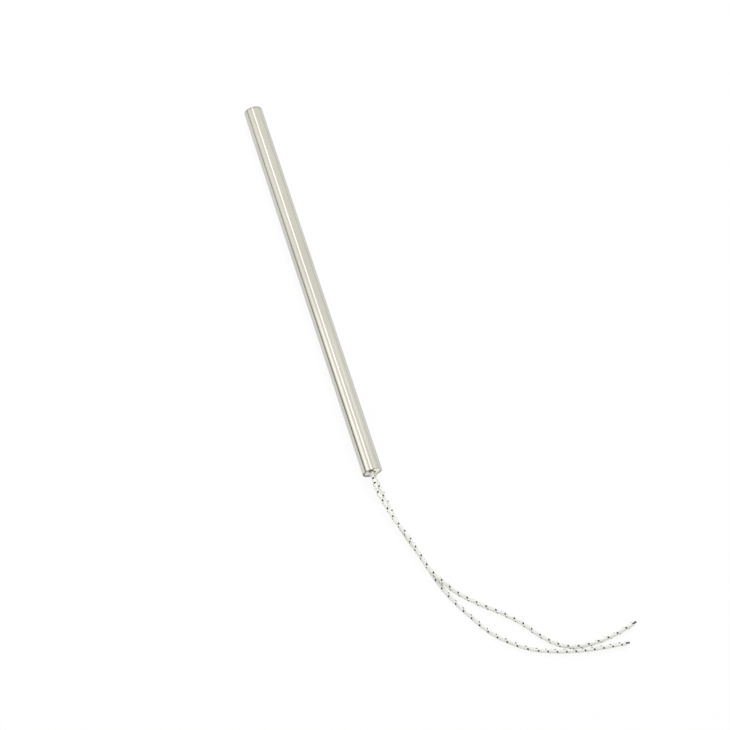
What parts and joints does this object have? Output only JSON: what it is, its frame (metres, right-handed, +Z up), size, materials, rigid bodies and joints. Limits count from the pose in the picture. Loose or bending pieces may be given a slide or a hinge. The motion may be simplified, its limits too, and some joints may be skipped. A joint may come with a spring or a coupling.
{
  "type": "cartridge heater",
  "caption": "Rod-shaped electric cartridge heater: polished steel sheath with a welded blank end, ceramic core and winding inside, and two braided leads from one end.",
  "frame": {"origin": "middle of the sheath's length, on the surface that the sheath lies on", "axes": "+Y along the sheath from the lead end to the blank end, +Z up from the surface, +X to the side where the leads lie"},
  "size_m": [0.1025, 0.3364, 0.01],
  "materials": {
    "sheath_steel": "centreless ground and polished stainless steel",
    "disc_steel": "turned stainless steel",
    "weld_steel": "fused weld, lightly heat tinted",
    "core_ceramic": "matt unglazed magnesia",
    "resistance_wire": "oxidised nickel chromium wire",
    "powder": "compacted matt powder",
    "pin_nickel": "drawn nickel",
    "cap_ceramic": "matt cream ceramic",
    "glass_braid": "glass-fibre braid with a black tracer yarn",
    "lead_strands": "twisted nickel-plated strands, dull"
  },
  "bodies": {
    "root": {"sheath": "sheath_steel", "end_disc": "disc_steel", "end_weld": "weld_steel", "end_wafer": "core_ceramic", "core_1": "core_ceramic", "core_2": "core_ceramic", "core_3": "core_ceramic", "core_4": "core_ceramic", "core_5": "core_ceramic", "core_6": "core_ceramic", "core_7": "core_ceramic", "core_8": "core_ceramic", "core_9": "core_ceramic", "winding": "resistance_wire", "powder_fill": "powder", "long_pin": "pin_nickel", "short_pin": "pin_nickel", "terminal_spacer": "core_ceramic", "crimp_sleeve_a": "pin_nickel", "crimp_sleeve_b": "pin_nickel", "lead_end_cap": "cap_ceramic", "lead_a_insulation": "glass_braid", "lead_a_conductor": "lead_strands", "lead_b_insulation": "glass_braid", "lead_b_conductor": "lead_strands"}
  },
  "joints": []
}
